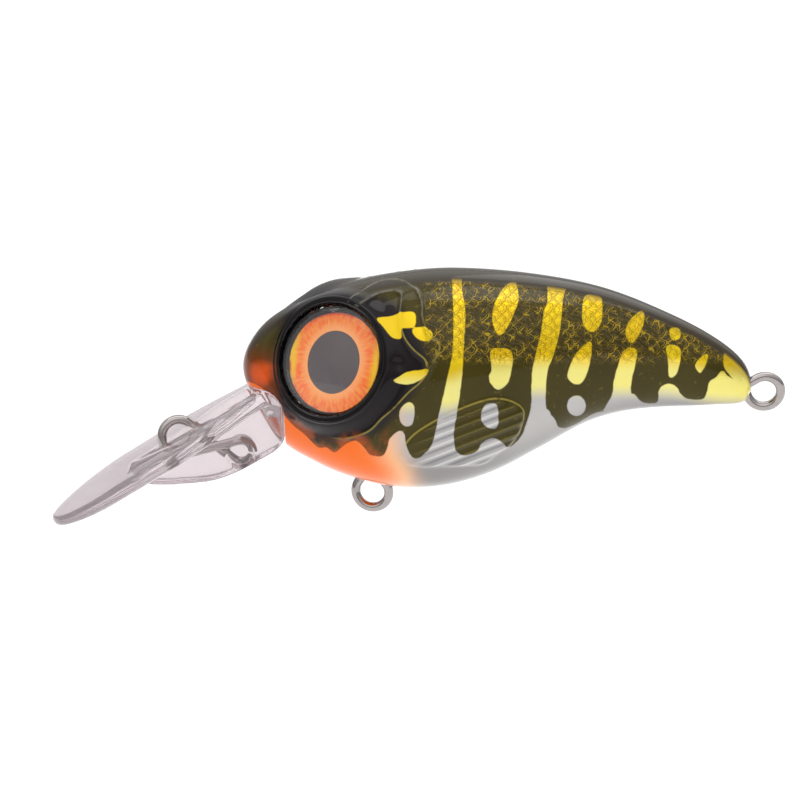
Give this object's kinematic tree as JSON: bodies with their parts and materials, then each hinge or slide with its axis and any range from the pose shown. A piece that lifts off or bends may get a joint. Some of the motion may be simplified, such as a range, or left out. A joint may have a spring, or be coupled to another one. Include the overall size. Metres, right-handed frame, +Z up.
{
  "type": "crankbait lure",
  "caption": "Fat-bodied fishing crankbait with a long clear diving lip, large domed eyes, wire hangers at the lip, belly and tail, and loose rattle balls inside.",
  "frame": {"origin": "centre of the line-tie eye, where the fishing line's snap or knot holds the lure", "axes": "+X from the nose to the tail, +Y to the lure's right side, +Z up towards the back; the centre plane is y = 0"},
  "size_m": [0.0869, 0.0216, 0.031],
  "materials": {
    "shell_paint": "clear moulded shell over gold foil, airbrushed with olive bars, black cheeks, orange throat and pearl belly, high gloss clear coat",
    "foil": "embossed metallised foil with a fine scale pattern, gold fading to silver",
    "iris_print": "printed disc, orange iris with yellow edges, dark grey oval pupil and black surround",
    "clear_lens": "water-clear domed cap",
    "clear_lip": "clear polycarbonate with a faint rose-grey tint, polished",
    "hanger_wire": "bright stainless spring wire with fine drawing marks",
    "weight_metal": "dull cast weight",
    "ball_steel": "polished bearing balls"
  },
  "bodies": {
    "lure_body": {"body_shell_left": "shell_paint", "body_shell_right": "shell_paint", "foil_insert_left": "foil", "foil_insert_right": "foil", "eye_iris_left": "iris_print", "eye_iris_right": "iris_print", "eye_lens_left": "clear_lens", "eye_lens_right": "clear_lens", "diving_lip": "clear_lip", "line_tie_wire": "hanger_wire", "belly_hook_hanger": "hanger_wire", "tail_hook_hanger": "hanger_wire", "belly_ballast": "weight_metal"},
    "belly_ball_1": {"belly_rattle_ball_1": "ball_steel"},
    "belly_ball_2": {"belly_rattle_ball_2": "ball_steel"},
    "belly_ball_3": {"belly_rattle_ball_3": "ball_steel"},
    "tail_ball_1": {"tail_rattle_ball_1": "ball_steel"},
    "tail_ball_2": {"tail_rattle_ball_2": "ball_steel"},
    "knocker": {"knocker_ball": "ball_steel"}
  },
  "joints": [
    {"name": "belly_ball_1_travel", "type": "slide", "parent": "lure_body", "child": "belly_ball_1", "axis": [1, 0, 0], "range_m": [0, 0.005]},
    {"name": "belly_ball_2_travel", "type": "slide", "parent": "lure_body", "child": "belly_ball_2", "axis": [1, 0, 0], "range_m": [0, 0.005]},
    {"name": "belly_ball_3_travel", "type": "slide", "parent": "lure_body", "child": "belly_ball_3", "axis": [1, 0, 0], "range_m": [0, 0.005]},
    {"name": "tail_ball_1_travel", "type": "slide", "parent": "lure_body", "child": "tail_ball_1", "axis": [1, 0, 0], "range_m": [0, 0.0022]},
    {"name": "tail_ball_2_travel", "type": "slide", "parent": "lure_body", "child": "tail_ball_2", "axis": [1, 0, 0], "range_m": [0, 0.0022]},
    {"name": "knocker_travel", "type": "slide", "parent": "lure_body", "child": "knocker", "axis": [0, 1, 0], "range_m": [-0.0032, 0.0032]}
  ],
  "couplings": [
    {"joint": "belly_ball_2_travel", "follows": "belly_ball_1_travel", "ratio": 1},
    {"joint": "belly_ball_3_travel", "follows": "belly_ball_1_travel", "ratio": 1},
    {"joint": "tail_ball_2_travel", "follows": "tail_ball_1_travel", "ratio": 1}
  ]
}
